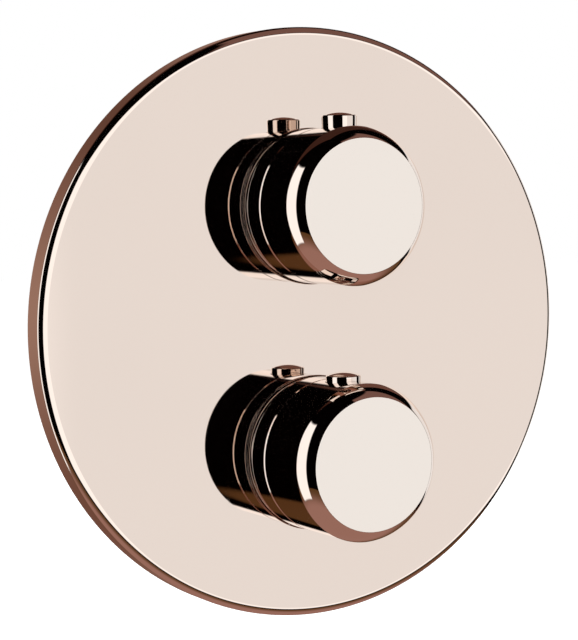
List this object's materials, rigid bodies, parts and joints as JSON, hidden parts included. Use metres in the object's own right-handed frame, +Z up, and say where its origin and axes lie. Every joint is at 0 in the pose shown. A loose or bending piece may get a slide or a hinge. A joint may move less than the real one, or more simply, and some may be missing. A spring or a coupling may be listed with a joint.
{
  "type": "thermostatic shower valve",
  "caption": "Concealed thermostatic shower valve: round mirror cover plate with a flow knob above and a temperature knob below, each with an override button on top, and the brass body behind.",
  "frame": {"origin": "centre of the back face of the mounting bracket, on the fixing plane and midway between its four fixing holes", "axes": "+Z up, -Y towards the user along both spindles, +X to the user's right; the finished wall is the plane y = -84 mm"},
  "size_m": [0.2, 0.1316, 0.2],
  "materials": {
    "rose_gold": "mirror-polished rose gold coating on brass",
    "brass": "as machined, dull",
    "copper": "bare",
    "steel": "plain stainless steel",
    "black_rubber": "matt",
    "foam": "closed-cell foam",
    "white_plastic": "moulded",
    "grey_plastic": "moulded, glass filled",
    "ceramic": "lapped ceramic"
  },
  "bodies": {
    "valve": {"face_plate": "rose_gold", "upper_sleeve": "rose_gold", "lower_sleeve": "rose_gold", "plate_gasket": "foam", "sleeve_seals": "black_rubber", "flow_stop_ring": "white_plastic", "temperature_stop_ring": "white_plastic", "flow_cartridge_nut": "brass", "flow_housing": "grey_plastic", "flow_thrust_washer": "white_plastic", "flow_fixed_disc": "ceramic", "flow_port_seal": "black_rubber", "flow_housing_seal": "black_rubber", "thermostat_nut": "brass", "thermostat_housing": "grey_plastic", "thermostat_thrust_washer": "white_plastic", "thermostat_end_cap": "grey_plastic", "thermostat_housing_seals": "black_rubber", "return_spring": "steel", "valve_body": "brass", "hot_inlet": "brass", "cold_inlet": "brass", "upper_outlet": "brass", "lower_outlet": "brass", "connector_seals": "black_rubber", "hot_check_housing": "white_plastic", "hot_check_spring": "steel", "cold_check_housing": "white_plastic", "cold_check_spring": "steel", "hot_strainer": "steel", "cold_strainer": "steel", "mounting_bracket": "steel", "bracket_screws": "steel"},
    "flow_handle": {"flow_knob": "rose_gold", "flow_insert": "white_plastic", "flow_grub_screw": "steel", "flow_spindle": "brass", "flow_spindle_seals": "black_rubber", "flow_driver": "grey_plastic", "flow_moving_disc": "ceramic", "flow_button_spring": "steel"},
    "flow_push": {"flow_button": "rose_gold", "flow_button_clip": "steel"},
    "temperature_handle": {"temperature_knob": "rose_gold", "temperature_insert": "white_plastic", "temperature_grub_screw": "steel", "thermostat_spindle": "brass", "thermostat_spindle_seals": "black_rubber", "temperature_button_spring": "steel"},
    "temperature_push": {"temperature_button": "rose_gold", "temperature_button_clip": "steel"},
    "thermostat_carriage": {"regulating_nut": "brass", "overload_spring": "steel", "overload_washer": "steel", "overload_clip": "steel", "wax_element": "copper", "thermostat_shuttle": "grey_plastic", "shuttle_seal": "black_rubber"},
    "hot_poppet": {"hot_check_poppet": "grey_plastic"},
    "cold_poppet": {"cold_check_poppet": "grey_plastic"}
  },
  "joints": [
    {"name": "flow_turn", "type": "hinge", "parent": "valve", "child": "flow_handle", "pos_m": [0, -0.11, 0.0397], "axis": [0, -1, 0], "range_deg": [-90, 90]},
    {"name": "flow_press", "type": "slide", "parent": "flow_handle", "child": "flow_push", "axis": [0, 0, -1], "range_m": [0, 0.002], "stiffness_N_per_m": 450, "springref_m": -0.003, "deforming": ["flow_button_spring"]},
    {"name": "temperature_turn", "type": "hinge", "parent": "valve", "child": "temperature_handle", "pos_m": [0, -0.11, -0.0441], "axis": [0, -1, 0], "range_deg": [-180, 60]},
    {"name": "temperature_press", "type": "slide", "parent": "temperature_handle", "child": "temperature_push", "axis": [0, 0, -1], "range_m": [0, 0.002], "stiffness_N_per_m": 450, "springref_m": -0.003, "deforming": ["temperature_button_spring"]},
    {"name": "thermostat_slide", "type": "slide", "parent": "valve", "child": "thermostat_carriage", "axis": [0, -1, 0], "range_m": [-0.00151, 0.00051], "deforming": ["return_spring"]},
    {"name": "hot_check", "type": "slide", "parent": "valve", "child": "hot_poppet", "axis": [1, 0, 0], "range_m": [0, 0.002], "stiffness_N_per_m": 150, "springref_m": -0.002, "deforming": ["hot_check_spring"]},
    {"name": "cold_check", "type": "slide", "parent": "valve", "child": "cold_poppet", "axis": [-1, 0, 0], "range_m": [0, 0.002], "stiffness_N_per_m": 150, "springref_m": -0.002, "deforming": ["cold_check_spring"]}
  ],
  "couplings": [
    {"joint": "thermostat_slide", "follows": "temperature_turn", "m_per_rad": 0.00047746}
  ]
}
